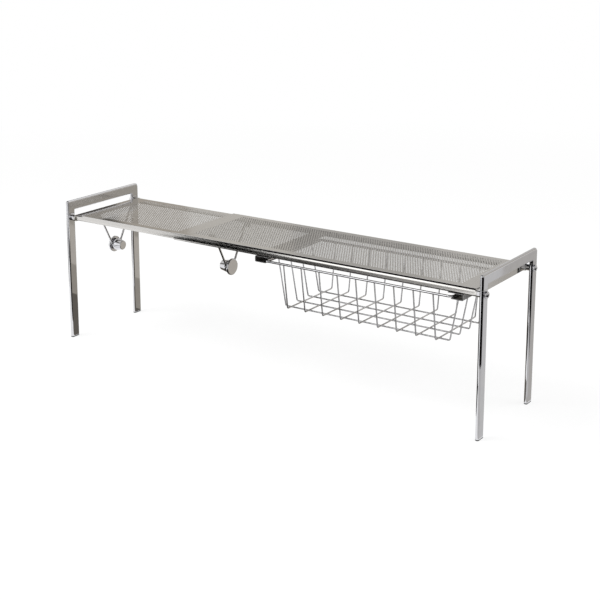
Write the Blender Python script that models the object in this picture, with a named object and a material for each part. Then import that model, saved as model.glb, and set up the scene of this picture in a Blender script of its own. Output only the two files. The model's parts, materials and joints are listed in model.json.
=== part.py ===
# Extending kitchen shelf rack: two chromed end frames, a perforated steel shelf in two
# telescoping halves, a wire basket on drawer rails and a spring-arm holder for a paper roll.
# Metres, +Z up. Origin: middle of the footprint on the table. +X runs to the right-hand
# end frame, -Y faces the user. The rack stands as far open as it is usually used.

import bpy
import bmesh
from math import sin, cos, tan, pi, radians
from mathutils import Vector
from mathutils.geometry import delaunay_2d_cdt

# Whole rack
rackLength = 0.850
rackWidth = 0.194
rackHeight = 0.262

# Running and resting clearances
restGap = 0.0003
slideGap = 0.0004
pivotGap = 0.0004
cutOverrun = 0.002

# Flat tube of the end frames; the stub is the short upright between rail and seam
tubeThick = 0.0065
tubeWide = 0.0184
tubeWall = 0.001
tubeEdgeRadius = 0.0028
railTall = 0.0185
stubTall = 0.005
shelfBelowSeam = 0.0017
rearCornerRadius = 0.0065
frontCornerRadius = 0.003
slotCornerRadius = 0.001

# Joint tongue inside the tube, across the seam between frame and leg
tongueBelow = 0.030
tongueAbove = 0.010

# Foot caps
footHeight = 0.0016
footPlug = 0.012
footEdge = 0.0007

# Cap bolts, spacers and end plates
boltFromFront = 0.011
boltDrop = 0.0068
boltRadius = 0.00175
boltFit = 0.0003
headRadius = 0.0058
headTall = 0.0044
headRim = 0.0014
spacerRadius = 0.0055
spacerLength = 0.0062
plateThick = 0.003
plateTall = 0.0085
earInset = 0.0055

# Shelf sheets
sheetThick = 0.0008
sheetInset = 0.008
innerLength = 0.458
overlapLength = 0.2242
outerDrop = 0.0122
edgeRadius = 0.005
hemRadius = 0.003
outerHem = 0.009
innerHem = 0.006

# Perforation. The full pattern has a hole at every point of a 60 degree grid; the model
# cuts the same pattern drawn several times larger, with the same open share
holePitch = 0.0046
holeRadius = 0.0014
patternScale = 9.5
endMargin = 0.0295
edgeMargin = 0.018

# Drawer rails under the outer sheet
railInset = 0.0199
sheetPastRail = 0.1751
railWide = 0.0265
railTallBox = 0.0105
railThick = 0.001
railBend = 0.002
railLip = 0.021
railSetback = 0.001

# Wire basket; its rim rests a little inside the edge of each rail's lip
rimOnLip = 0.0015
basketInset = 0.0055
basketForward = 0.003
basketDepth = 0.080
rimRadius = 0.002
rimCorner = 0.006
wireRadius = 0.0012
wireBend = 0.004
wallSlopeLong = 0.0155
wallSlopeCross = 0.0122

# Paper-roll holder
armRadius = 0.0019
armBend = 0.0083
armTopBend = 0.004
armAngle = radians(27.5)
armHook = 0.012
pivotBelowSheet = 0.004
rollAxisDrop = 0.0723
leftArmInset = 0.0174
armSpacing = 0.2715
clipLong = 0.010
clipWide = 0.006
clipTall = 0.0078
clipRadius = 0.0015
capDiscRadius = 0.015
capDiscThick = 0.004
capEdge = 0.001
capFlangeRadius = 0.0112
capFlangeThick = 0.002
capPlugLength = 0.015
capTipRadius = 0.0085

# Counts
crossCount = 9
longCount = 4
holeSides = 12
roundSides = 24
boltSides = 16
wireSides = 8
arcSteps = 4
bendSteps = 3
tubeSteps = 3

# Worked out from the sizes above
boreEdgeRadius = tubeEdgeRadius - tubeWall
legInner = rackLength / 2 - tubeThick
plateOuter = legInner - restGap - spacerLength - restGap
sheetEnd = plateOuter - plateThick - restGap
seamZ = rackHeight - railTall - stubTall
shelfHeight = seamZ - shelfBelowSeam
boltY = rackWidth / 2 - boltFromFront
boltZ = shelfHeight - boltDrop
outerStart = innerLength - sheetEnd - overlapLength
outerHalfWidth = rackWidth / 2 - sheetInset
innerHalfWidth = outerHalfWidth - sheetThick - slideGap
innerTop = shelfHeight - sheetThick - slideGap
innerDrop = outerDrop - 2 * sheetThick - 2 * slideGap
innerUnder = innerTop - sheetThick
outerHemZ = shelfHeight - outerDrop
railTop = outerHemZ - restGap
leftWebX = outerStart + sheetPastRail
rightWebX = sheetEnd - railInset
rimZ = railTop - railTallBox + railThick + restGap + rimRadius
basketLength = rightWebX - leftWebX - 2 * (railLip - rimOnLip)
basketWidth = 2 * (outerHalfWidth - basketInset)
basketMid = (leftWebX + rightWebX) / 2
crossPitch = basketLength / (crossCount + 1)
longPitch = basketWidth / (longCount + 1)
pivotZ = innerUnder - pivotBelowSheet
capZ = shelfHeight - rollAxisDrop
leftArmX = leftArmInset - sheetEnd
rightArmX = leftArmX + armSpacing


def look(name, colour, metallic, roughness):
    """A plain Principled material."""
    material = bpy.data.materials.new(name)
    material.use_nodes = True
    shader = material.node_tree.nodes["Principled BSDF"]
    shader.inputs["Base Color"].default_value = (*colour, 1)
    shader.inputs["Metallic"].default_value = metallic
    shader.inputs["Roughness"].default_value = roughness
    return material


def empty(name, at, parent=None):
    """A pivot or slide marker that carries the pieces of one moving group."""
    marker = bpy.data.objects.new(name, None)
    bpy.context.scene.collection.objects.link(marker)
    marker.parent = parent
    marker["at"] = at
    base = Vector(parent["at"]) if parent else Vector((0, 0, 0))
    marker.location = Vector(at) - base
    return marker


def piece(name, points, faces, material, parent=None, smooth=True):
    """A mesh object from points in rack coordinates, with its origin on its parent's."""
    base = Vector(parent["at"]) if parent else Vector((0, 0, 0))
    mesh = bpy.data.meshes.new(name)
    mesh.from_pydata([Vector(p) - base for p in points], [], faces)
    solid = bmesh.new()
    solid.from_mesh(mesh)
    bmesh.ops.recalc_face_normals(solid, faces=solid.faces)
    solid.to_mesh(mesh)
    solid.free()
    if material:
        mesh.materials.append(material)
    obj = bpy.data.objects.new(name, mesh)
    bpy.context.scene.collection.objects.link(obj)
    obj.parent = parent
    if smooth:
        mesh.shade_smooth()
        mesh.set_sharp_from_angle(angle=radians(35))
    return obj


def cutter(name, points, faces):
    """A tool for a Boolean cut, kept in the file as a wire guide."""
    tool = piece(name, points, faces, None, smooth=False)
    tool.hide_render = True
    tool.display_type = "WIRE"
    return tool


def cut(obj, tool):
    modifier = obj.modifiers.new(tool.name, "BOOLEAN")
    modifier.operation = "DIFFERENCE"
    modifier.solver = "EXACT"
    modifier.object = tool


def filleted(corners, radii, steps, closed=False):
    """A polyline with a round arc of the given radius at each corner."""
    count = len(corners)
    result = []
    for i, corner in enumerate(corners):
        here = Vector(corner)
        ends = not closed and i in (0, count - 1)
        if ends or not radii[i]:
            result.append(here)
            continue
        back = (Vector(corners[i - 1]) - here).normalized()
        ahead = (Vector(corners[(i + 1) % count]) - here).normalized()
        half = back.angle(ahead) / 2
        middle = here + (back + ahead).normalized() * (radii[i] / sin(half))
        start = here + back * (radii[i] / tan(half)) - middle
        end = here + ahead * (radii[i] / tan(half)) - middle
        sweep = start.angle(end)
        for k in range(steps + 1):
            a, b = sin(sweep * (1 - k / steps)), sin(sweep * k / steps)
            result.append(middle + (start * a + end * b) / sin(sweep))
    return result


def circle(radius, sides, turn=0):
    return [(radius * cos(2 * pi * (i + turn) / sides),
             radius * sin(2 * pi * (i + turn) / sides)) for i in range(sides)]


def rounded_box(width, height, radius, steps):
    """Outline of a rectangle with round corners about its middle."""
    w, h = width / 2, height / 2
    corners = [(-w, -h), (w, -h), (w, h), (-w, h)]
    return filleted(corners, [radius] * 4, steps, closed=True)


def loft(rings, closed_ends=True):
    """Side faces through rings of equal count, with the first and last ring filled."""
    count = len(rings[0])
    points = [p for ring in rings for p in ring]
    faces = []
    for r in range(len(rings) - 1):
        for i in range(count):
            j = (i + 1) % count
            a, b = r * count, (r + 1) * count
            faces.append((a + i, a + j, b + j, b + i))
    if closed_ends:
        last = (len(rings) - 1) * count
        faces.append(tuple(range(count))[::-1])
        faces.append(tuple(range(last, last + count)))
    return points, faces


def pipe_solid(outer, bore):
    """Rings of an outer skin and a bore of equal counts, joined into an open tube."""
    count = len(outer[0])
    points, faces = loft(outer, closed_ends=False)
    inner, inner_faces = loft(bore, closed_ends=False)
    shift = len(points)
    faces += [tuple(i + shift for i in face[::-1]) for face in inner_faces]
    last_outer, last_inner = shift - count, shift + len(inner) - count
    for i in range(count):
        j = (i + 1) % count
        faces.append((j, i, shift + i, shift + j))
        faces.append((last_outer + i, last_outer + j, last_inner + j, last_inner + i))
    return points + inner, faces


def wire_solid(path, across, radius, sides, closed=False):
    """A round wire swept along a flat path; across is the normal of the path's plane."""
    rings, count = [], len(path)
    for i, here in enumerate(path):
        before = path[i - 1] if closed or i else None
        after = path[(i + 1) % count] if closed or i < count - 1 else None
        into = (here - before).normalized() if before is not None else None
        out = (after - here).normalized() if after is not None else None
        into, out = into or out, out or into
        along = (into + out).normalized()
        side = across.cross(along)
        stretch = 1 / along.dot(into)
        rings.append([here + across * v + side * (u * stretch)
                      for u, v in circle(radius, sides, turn=1 / 2)])
    if not closed:
        return loft(rings)
    points, faces = loft(rings, closed_ends=False)
    start = (count - 1) * sides
    for i in range(sides):
        j = (i + 1) % sides
        faces.append((start + i, start + j, j, i))
    return points, faces


def turned(profile, sides, centre, outward):
    """A solid of revolution about X; profile is (distance along X, radius)."""
    cx, cy, cz = centre
    rings = []
    for x, r in profile:
        rings.append([(cx + outward * x, cy + u, cz + v) for u, v in circle(r, sides)])
    return loft(rings)


def bolt_cutter(name, x0, x1, y, z):
    radius = boltRadius + boltFit
    rings = [[(x, y + u, z + v) for u, v in circle(radius, boltSides)] for x in (x0, x1)]
    return cutter(name, *loft(rings))


def end_frame(name, side, steel, parent):
    """Inverted U of flat tube: top rail and two short stubs, socketed for the tongues."""
    y, inner = rackWidth / 2, rackWidth / 2 - tubeWide
    top, slot_top, low = rackHeight, rackHeight - railTall, seamZ
    corners = [(-y, low), (-y, top), (y, top), (y, low), (inner, low),
               (inner, slot_top), (-inner, slot_top), (-inner, low)]
    radii = [0, frontCornerRadius, rearCornerRadius, 0, 0, slotCornerRadius,
             slotCornerRadius, 0]
    outline = filleted(corners, radii, arcSteps, closed=True)
    x0, x1 = side * legInner, side * rackLength / 2
    rings = [[(x, p[0], p[1]) for p in outline] for x in (x0, x1)]
    obj = piece(name, *loft(rings), steel, parent)
    mesh = obj.data
    solid = bmesh.new()
    solid.from_mesh(mesh)
    flat_ends = [f for f in solid.faces if len(f.verts) == len(outline)]
    rims = {e for f in flat_ends for e in f.edges
            if not all(abs(v.co.z - low) < restGap for v in e.verts)}
    bmesh.ops.bevel(solid, geom=list(rims), offset=tubeEdgeRadius, segments=tubeSteps,
                    profile=1 / 2, affect="EDGES", clamp_overlap=True)
    bmesh.ops.recalc_face_normals(solid, faces=solid.faces)
    solid.to_mesh(mesh)
    solid.free()
    mesh.shade_smooth()
    mesh.set_sharp_from_angle(angle=radians(35))
    for end, where in ((-1, "front"), (1, "rear")):
        yc = end * (rackWidth - tubeWide) / 2
        xc = (x0 + x1) / 2
        bore = rounded_box(tubeThick - 2 * tubeWall, tubeWide - 2 * tubeWall,
                           boreEdgeRadius, tubeSteps)
        rings = [[(xc + u, yc + v, z) for u, v in bore]
                 for z in (low - cutOverrun, low + tongueAbove + restGap)]
        cut(obj, cutter(f"{name}_{where}_socket", *loft(rings)))
    return obj


def leg(name, side, end, steel, parent):
    """Flat-sided tube with its bolt hole through both wide walls."""
    xc = side * (rackLength - tubeThick) / 2
    yc = end * (rackWidth - tubeWide) / 2
    z0, z1 = footHeight + restGap, seamZ - restGap
    skin = rounded_box(tubeThick, tubeWide, tubeEdgeRadius, tubeSteps)
    bore = rounded_box(tubeThick - 2 * tubeWall, tubeWide - 2 * tubeWall, boreEdgeRadius,
                       tubeSteps)
    outer = [[(xc + u, yc + v, z) for u, v in skin] for z in (z0, z1)]
    inner = [[(xc + u, yc + v, z) for u, v in bore] for z in (z0, z1)]
    obj = piece(name, *pipe_solid(outer, inner), steel, parent)
    reach = tubeThick / 2 + cutOverrun
    cut(obj, bolt_cutter(f"{name}_bolt_hole", xc - reach, xc + reach, end * boltY, boltZ))
    return obj


def tongue(name, side, end, steel, parent):
    """Flat bar that lines up the leg with the stub above it."""
    xc = side * (rackLength - tubeThick) / 2
    yc = end * (rackWidth - tubeWide) / 2
    play = 2 * (tubeWall + restGap)
    bar = rounded_box(tubeThick - play, tubeWide - play, boreEdgeRadius - restGap, tubeSteps)
    rings = [[(xc + u, yc + v, z) for u, v in bar]
             for z in (seamZ - tongueBelow, seamZ + tongueAbove)]
    obj = piece(name, *loft(rings), steel, parent)
    reach = tubeThick / 2 + cutOverrun
    cut(obj, bolt_cutter(f"{name}_bolt_hole", xc - reach, xc + reach, end * boltY, boltZ))
    return obj


def foot(name, side, end, plastic, parent):
    """Cap under the tube with a plug that fills its bore."""
    xc = side * (rackLength - tubeThick) / 2
    yc = end * (rackWidth - tubeWide) / 2
    play = 2 * (tubeWall + restGap)
    rings = []
    for inset, z in ((footEdge, 0), (0, footEdge), (0, footHeight),
                     (play / 2, footHeight), (play / 2, footHeight + footPlug)):
        flat = rounded_box(tubeThick - 2 * inset, tubeWide - 2 * inset,
                           tubeEdgeRadius - inset, tubeSteps)
        rings.append([(xc + u, yc + v, z) for u, v in flat])
    return piece(name, *loft(rings), plastic, parent)


def cap_bolt(name, side, end, steel, parent):
    """Domed head outside the leg, shank through leg, tongue and spacer to the end plate."""
    tail = plateOuter - plateThick
    seat = rackLength / 2 + restGap
    dome = [(seat, headRadius), (seat + headRim, headRadius)]
    rise = headTall - headRim
    for k in range(1, arcSteps):
        turn = k / arcSteps * pi / 2
        dome.append((seat + headRim + rise * sin(turn), headRadius * cos(turn)))
    profile = [(tail, boltRadius), (seat, boltRadius)] + dome
    return piece(name, *turned(profile, boltSides, (0, end * boltY, boltZ), side),
                 steel, parent)


def spacer(name, side, end, steel, parent):
    """Round boss that holds the shelf off the leg."""
    x1 = legInner - restGap
    x0 = x1 - spacerLength
    centre = (0, end * boltY, boltZ)
    rings = []
    for radius in (spacerRadius, boltRadius + boltFit):
        rings.append([[(side * x, centre[1] + u, centre[2] + v)
                       for u, v in circle(radius, boltSides)] for x in (x0, x1)])
    return piece(name, *pipe_solid(*rings), steel, parent)


def end_plate(name, side, steel, parent):
    """Plate across the sheet's end, with round ears that take the bolts."""
    top = boltZ + spacerRadius
    low = top - plateTall
    ear = spacerRadius
    half = []
    for k in range(2 * arcSteps + 1):
        turn = pi / 2 - pi * k / (2 * arcSteps)
        half.append((boltY + ear * cos(turn), boltZ + ear * sin(turn)))
    half += [(boltY - earInset, boltZ - ear), (boltY - earInset, low)]
    outline = half + [(-y, z) for y, z in half[::-1]]
    x0, x1 = side * (plateOuter - plateThick), side * plateOuter
    rings = [[(x, y, z) for y, z in outline] for x in (x0, x1)]
    obj = piece(name, *loft(rings), steel, parent)
    a, b = sorted((x0, x1))
    for end, where in ((-1, "front"), (1, "rear")):
        cut(obj, bolt_cutter(f"{name}_{where}_hole", a - cutOverrun, b + cutOverrun,
                             end * boltY, boltZ))
    return obj


def folded_strip(corners, radii, thick, steps):
    """Outer and inner lines of a strip bent one way; the inner side is to the right."""
    outer, inner = [], []
    count = len(corners)
    for i, corner in enumerate(corners):
        here = Vector(corner)
        if i in (0, count - 1):
            other = Vector(corners[1 if i == 0 else count - 2])
            along = (other - here).normalized() * (1 if i == 0 else -1)
            outer.append(here)
            inner.append(here + Vector((along.y, -along.x)) * thick)
            continue
        back = (Vector(corners[i - 1]) - here).normalized()
        ahead = (Vector(corners[i + 1]) - here).normalized()
        half = back.angle(ahead) / 2
        radius = radii[i]
        middle = here + (back + ahead).normalized() * (radius / sin(half))
        start = (here + back * (radius / tan(half)) - middle).normalized()
        end = (here + ahead * (radius / tan(half)) - middle).normalized()
        sweep = start.angle(end)
        for k in range(steps + 1):
            a, b = sin(sweep * (1 - k / steps)), sin(sweep * k / steps)
            ray = (start * a + end * b) / sin(sweep)
            outer.append(middle + ray * radius)
            inner.append(middle + ray * (radius - thick))
    return outer, inner


def hole_centres(x0, x1, half, welds):
    """Centres of the enlarged grid inside a field; no hole opens above a weld."""
    pitch = holePitch * patternScale
    row_pitch = pitch * sin(pi / 3)
    grow = holeRadius * (patternScale - 1)
    clear = holeRadius * patternScale + clipLong
    rows = int(2 * (half - grow) / row_pitch)
    middle, cols = (x0 + x1) / 2, int((x1 - x0 - 2 * grow) / pitch)
    centres = []
    for r in range(rows + 1):
        y = (r - rows / 2) * row_pitch
        odd = r % 2
        for c in range(cols + 1 - odd):
            x = middle + (c - (cols - odd) / 2) * pitch
            if all((x - u) ** 2 + (y - v) ** 2 > clear ** 2 for u, v in welds):
                centres.append((x, y))
    return centres


def clip_middle():
    """Distance from the rack's middle plane to the middle of an arm clip."""
    apex = capZ - armBend / sin(armAngle)
    return (pivotZ - apex) * tan(armAngle) + armHook - clipWide / 2


def perforated_sheet(name, x0, x1, half_width, top, drop, hem, centres, steel, parent):
    """Sheet folded down and hemmed along both long edges, with holes through its top."""
    low = top - drop
    corners = [(hem - half_width, low), (-half_width, low), (-half_width, top),
               (half_width, top), (half_width, low), (half_width - hem, low)]
    radii = [0, hemRadius, edgeRadius, edgeRadius, hemRadius, 0]
    outer, inner = folded_strip(corners, radii, sheetThick, bendSteps)
    count = len(outer)
    flat = next(i for i in range(count - 1)
                if abs(outer[i].y - top) < restGap and abs(outer[i + 1].y - top) < restGap
                and abs(outer[i + 1].x - outer[i].x) > half_width)
    points, faces = [], []
    for x in (x0, x1):
        points += [(x, p.x, p.y) for p in outer] + [(x, p.x, p.y) for p in inner]
    o0, i0, o1, i1 = 0, count, 2 * count, 3 * count
    for i in range(count - 1):
        j = i + 1
        faces += [(o0 + i, o0 + j, i0 + j, i0 + i), (o1 + i, i1 + i, i1 + j, o1 + j)]
        if i != flat:
            faces += [(o0 + i, o1 + i, o1 + j, o0 + j), (i0 + i, i0 + j, i1 + j, i1 + i)]
    for i in (0, count - 1):
        faces.append((o0 + i, i0 + i, i1 + i, o1 + i))
    # The flat top is triangulated once around its holes and used for both faces
    rim_top = [o0 + flat, o1 + flat, o1 + flat + 1, o0 + flat + 1]
    rim_low = [i0 + flat, i1 + flat, i1 + flat + 1, i0 + flat + 1]
    plan = [Vector(points[i][:2]) for i in rim_top]
    loops = [[0, 1, 2, 3]]
    for cx, cy in centres:
        start = len(plan)
        plan += [Vector((cx + u, cy + v))
                 for u, v in circle(holeRadius * patternScale, holeSides)]
        loops.append(list(range(start, start + holeSides)))
    edges = [(loop[k], loop[(k + 1) % len(loop)]) for loop in loops for k in range(len(loop))]
    plan_out, _, triangles, origins, _, _ = delaunay_2d_cdt(plan, edges, [], 0, 0)
    back_to_plan = [source[0] for source in origins]
    hole_of = {}
    for number, loop in enumerate(loops[1:]):
        for i in loop:
            hole_of[i] = number
    base = len(points)
    for z in (top, top - sheetThick):
        points += [(p.x, p.y, z) for p in plan[4:]]
    extra = len(plan) - 4

    def upper(i):
        return rim_top[i] if i < 4 else base + i - 4

    def lower(i):
        return rim_low[i] if i < 4 else base + extra + i - 4

    for triangle in triangles:
        tri = [back_to_plan[i] for i in triangle]
        owners = {hole_of.get(i) for i in tri}
        if len(owners) == 1 and None not in owners:
            continue
        faces.append(tuple(upper(i) for i in tri))
        faces.append(tuple(lower(i) for i in tri[::-1]))
    for loop in loops[1:]:
        for k, i in enumerate(loop):
            j = loop[(k + 1) % holeSides]
            faces.append((upper(i), upper(j), lower(j), lower(i)))
    return piece(name, points, faces, steel, parent, smooth=False)


def drawer_rail(name, x_web, inward, steel, parent):
    """C-shaped rail hung under the hems, open towards the basket."""
    far, lip = x_web + inward * railWide, x_web + inward * railLip
    low = railTop - railTallBox
    corners = [(far, railTop), (x_web, railTop), (x_web, low), (lip, low)]
    if inward > 0:
        corners = corners[::-1]
    outer, inner = folded_strip(corners, [0, railBend, railBend, 0], railThick, bendSteps)
    y0, y1 = railSetback - outerHalfWidth, outerHalfWidth - railSetback
    count = len(outer)
    points = []
    for y in (y0, y1):
        points += [(p.x, y, p.y) for p in outer] + [(p.x, y, p.y) for p in inner]
    faces = []
    o0, i0, o1, i1 = 0, count, 2 * count, 3 * count
    for i in range(count - 1):
        j = i + 1
        faces += [(o0 + i, o0 + j, i0 + j, i0 + i), (o1 + i, i1 + i, i1 + j, o1 + j),
                  (o0 + i, o1 + i, o1 + j, o0 + j), (i0 + i, i0 + j, i1 + j, i1 + i)]
    for i in (0, count - 1):
        faces.append((o0 + i, i0 + i, i1 + i, o1 + i))
    return piece(name, points, faces, steel, parent)


def basket(steel, parent):
    """Rim wire, then U-shaped wires across and along, welded under it."""
    cx, cy = basketMid, -basketForward
    w, d = basketLength / 2, basketWidth / 2
    corners = [(cx - w, cy - d, rimZ), (cx + w, cy - d, rimZ),
               (cx + w, cy + d, rimZ), (cx - w, cy + d, rimZ)]
    path = filleted(corners, [rimCorner] * 4, arcSteps, closed=True)
    up = Vector((0, 0, 1))
    piece("basket_rim", *wire_solid(path, up, rimRadius, wireSides, closed=True),
          steel, parent)
    inside = rimRadius + restGap + wireRadius
    floor = rimZ - basketDepth
    for i in range(crossCount):
        x = cx + (i - (crossCount - 1) / 2) * crossPitch
        top, low = d - inside, d - inside - wallSlopeCross
        corners = [(x, cy - top, rimZ), (x, cy - low, floor),
                   (x, cy + low, floor), (x, cy + top, rimZ)]
        path = filleted(corners, [0, wireBend, wireBend, 0], arcSteps)
        across = Vector((1, 0, 0))
        piece(f"basket_cross_wire_{i + 1}", *wire_solid(path, across, wireRadius, wireSides),
              steel, parent)
    under = floor - 2 * wireRadius - restGap
    for i in range(longCount):
        y = cy + (i - (longCount - 1) / 2) * longPitch
        top, low = w - inside, w - inside - wallSlopeLong
        corners = [(cx - top, y, rimZ), (cx - low, y, under),
                   (cx + low, y, under), (cx + top, y, rimZ)]
        path = filleted(corners, [0, wireBend, wireBend, 0], arcSteps)
        across = Vector((0, 1, 0))
        piece(f"basket_long_wire_{i + 1}", *wire_solid(path, across, wireRadius, wireSides),
              steel, parent)


def roll_arm(name, x, steel, parent):
    """V of spring wire; its ends turn outward as pivots, its foot cradles the cap."""
    apex = capZ - armBend / sin(armAngle)
    top_y = (pivotZ - apex) * tan(armAngle)
    reach = top_y + armHook
    corners = [(x, -reach, pivotZ), (x, -top_y, pivotZ), (x, 0, apex),
               (x, top_y, pivotZ), (x, reach, pivotZ)]
    path = filleted(corners, [0, armTopBend, armBend, armTopBend, 0], 2 * arcSteps)
    across = Vector((1, 0, 0))
    return piece(name, *wire_solid(path, across, armRadius, wireSides), steel, parent)


def arm_clip(name, x, end, steel, parent):
    """Saddle under the inner sheet that one arm pivot turns in."""
    yc = end * clip_middle()
    top = innerUnder - restGap
    half = clipLong / 2
    outline = [(-half, top), (-half, top - clipTall), (half, top - clipTall), (half, top)]
    outline = filleted(outline, [0, 2 * clipRadius, 2 * clipRadius, 0], arcSteps, closed=True)
    rings = [[(x + u, y, v) for u, v in outline]
             for y in (yc - clipWide / 2, yc + clipWide / 2)]
    obj = piece(name, *loft(rings), steel, parent)
    bore = circle(armRadius + pivotGap, boltSides)
    reach = clipWide / 2 + cutOverrun
    rings = [[(x + u, y, pivotZ + v) for u, v in bore] for y in (yc - reach, yc + reach)]
    cut(obj, cutter(f"{name}_bore", *loft(rings)))
    return obj


def roll_cap(name, x, outward, steel, parent):
    """Spool turned in one piece: outer disc, neck for the arm wire, plug for the roll."""
    neck = armBend - armRadius - pivotGap
    slot = armRadius + pivotGap
    tip = slot + capPlugLength
    profile = [(slot + capDiscThick, capDiscRadius - capEdge * 2),
               (slot + capDiscThick - capEdge, capDiscRadius - capEdge / 2),
               (slot + capDiscThick - 2 * capEdge, capDiscRadius),
               (slot, capDiscRadius), (slot, neck), (-slot, neck),
               (-slot, capFlangeRadius), (-slot - capFlangeThick, capFlangeRadius),
               (-tip + capEdge, capTipRadius), (-tip, capTipRadius - capEdge)]
    return piece(name, *turned(profile, roundSides, (x, 0, capZ), outward), steel, parent)


def build():
    for old in list(bpy.data.objects):
        bpy.data.objects.remove(old, do_unlink=True)
    chrome = look("chrome_plate", (0.80, 0.80, 0.82), 1, 0.07)
    brushed = look("stainless_sheet", (0.58, 0.57, 0.55), 1, 0.30)
    wire = look("chrome_wire", (0.74, 0.74, 0.76), 1, 0.12)
    plain = look("zinc_steel", (0.50, 0.50, 0.52), 1, 0.35)
    plastic = look("dark_plastic", (0.03, 0.03, 0.03), 0, 0.5)

    inner_half = empty("inner_half_slide", (-sheetEnd, 0, shelfHeight))
    drawer = empty("basket_slide", (basketMid, -basketForward, rimZ))
    pivots = [empty("left_arm_pivot", (leftArmX, 0, pivotZ), inner_half),
              empty("right_arm_pivot", (rightArmX, 0, pivotZ), inner_half)]
    axles = [empty("left_cap_axle", (leftArmX, 0, capZ), pivots[0]),
             empty("right_cap_axle", (rightArmX, 0, capZ), pivots[1])]

    for side, where, group in ((-1, "left", inner_half), (1, "right", None)):
        end_frame(f"{where}_frame", side, chrome, group)
        end_plate(f"{where}_end_plate", side, brushed, group)
        for end, place in ((-1, "front"), (1, "rear")):
            leg(f"{where}_{place}_leg", side, end, chrome, group)
            tongue(f"{where}_{place}_tongue", side, end, plain, group)
            foot(f"{where}_{place}_foot", side, end, plastic, group)
            cap_bolt(f"{where}_{place}_cap_bolt", side, end, chrome, group)
            spacer(f"{where}_{place}_spacer", side, end, chrome, group)

    half_field = outerHalfWidth - edgeMargin
    centres = hole_centres(outerStart + endMargin, sheetEnd - endMargin, half_field, [])
    perforated_sheet("outer_sheet", outerStart, sheetEnd, outerHalfWidth, shelfHeight,
                     outerDrop, outerHem, centres, brushed, None)
    x0, x1 = -sheetEnd, innerLength - sheetEnd
    welds = [(x, end * clip_middle()) for x in (leftArmX, rightArmX) for end in (-1, 1)]
    centres = hole_centres(x0 + endMargin, x1 - endMargin, half_field, welds)
    perforated_sheet("inner_sheet", x0, x1, innerHalfWidth, innerTop, innerDrop,
                     innerHem, centres, brushed, inner_half)

    drawer_rail("right_drawer_rail", rightWebX, -1, plain, None)
    drawer_rail("left_drawer_rail", leftWebX, 1, plain, None)
    basket(wire, drawer)

    for k, (where, x, outward) in enumerate((("left", leftArmX, -1),
                                             ("right", rightArmX, 1))):
        roll_arm(f"{where}_roll_arm", x, wire, pivots[k])
        roll_cap(f"{where}_roll_cap", x, outward, chrome, axles[k])
        for end, place in ((-1, "front"), (1, "rear")):
            arm_clip(f"{where}_{place}_arm_clip", x, end, plain, inner_half)


build()
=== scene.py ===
# Extending kitchen shelf rack: finished surfaces, floor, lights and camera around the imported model.

import json
import math

import bmesh
import bpy
import numpy as np
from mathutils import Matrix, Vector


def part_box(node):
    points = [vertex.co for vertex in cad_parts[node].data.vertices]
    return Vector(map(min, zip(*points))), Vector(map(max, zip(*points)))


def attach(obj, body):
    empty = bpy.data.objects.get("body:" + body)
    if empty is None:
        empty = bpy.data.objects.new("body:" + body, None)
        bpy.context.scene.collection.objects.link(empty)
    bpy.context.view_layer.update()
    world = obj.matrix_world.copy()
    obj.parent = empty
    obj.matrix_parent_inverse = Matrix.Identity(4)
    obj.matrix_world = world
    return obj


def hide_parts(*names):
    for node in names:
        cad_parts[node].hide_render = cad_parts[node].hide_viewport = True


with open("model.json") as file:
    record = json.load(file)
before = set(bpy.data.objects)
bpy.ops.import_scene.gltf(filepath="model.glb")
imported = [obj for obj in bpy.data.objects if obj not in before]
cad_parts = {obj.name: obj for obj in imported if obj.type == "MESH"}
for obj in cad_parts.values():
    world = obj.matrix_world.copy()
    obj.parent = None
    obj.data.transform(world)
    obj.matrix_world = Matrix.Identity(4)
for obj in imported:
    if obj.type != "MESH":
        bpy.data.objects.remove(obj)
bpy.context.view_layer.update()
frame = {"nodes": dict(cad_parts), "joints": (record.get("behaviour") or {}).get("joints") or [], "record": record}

mm = 0.001
gap = 0.3 * mm        # between a piece and what it is welded or screwed to
weldReach = 0.004 * mm        # points closer than this are one point
jointAt = {j["name"]: j.get("pos_m") for j in frame["joints"]}


def unit(v):
    # each vector over its own length
    return v / np.linalg.norm(v, axis=-1, keepdims=True)


def srgb(text):
    # hex colour to linear: ((c + 0.055) / 1.055) ** 2.4 above the toe, c / 12.92 below it
    c = np.array([int(text[i:i + 2], 16) for i in (1, 3, 5)]) / 255
    linear = np.where(c > 0.04045, ((c + 0.055) / 1.055) ** 2.4, c / 12.92)
    return (*linear.tolist(), 1.0)


def addNode(tree, kind, settings=None, values=None, links=None):
    # one node with its properties, socket values and incoming links
    made = tree.nodes.new(kind)
    for key, value in (settings or {}).items():
        setattr(made, key, value)
    for key, value in (values or {}).items():
        made.inputs[key].default_value = value
    for key, socket in (links or {}).items():
        tree.links.new(socket, made.inputs[key])
    return made


def startFinish(name, values):
    # an empty material with its shader, output and object coordinates
    material = bpy.data.materials.new(name)
    material.use_nodes = True
    tree = material.node_tree
    tree.nodes.clear()
    shader = addNode(tree, "ShaderNodeBsdfPrincipled", values=values)
    addNode(tree, "ShaderNodeOutputMaterial", links={"Surface": shader.outputs["BSDF"]})
    place = addNode(tree, "ShaderNodeTexCoord").outputs["Object"]
    return material, tree, shader, place


print("materials")

chromeLook = dict(pale="#E2E2E4", deep="#D2D2D6", smoothest=0.035, hazy=0.085,
                  hazeFrom=0.35, hazeFull=0.75,        # noise levels where haze starts and is full
                  hazeSize=9.0, waveSize=42.0, waveHeight=0.010)        # mm


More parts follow.
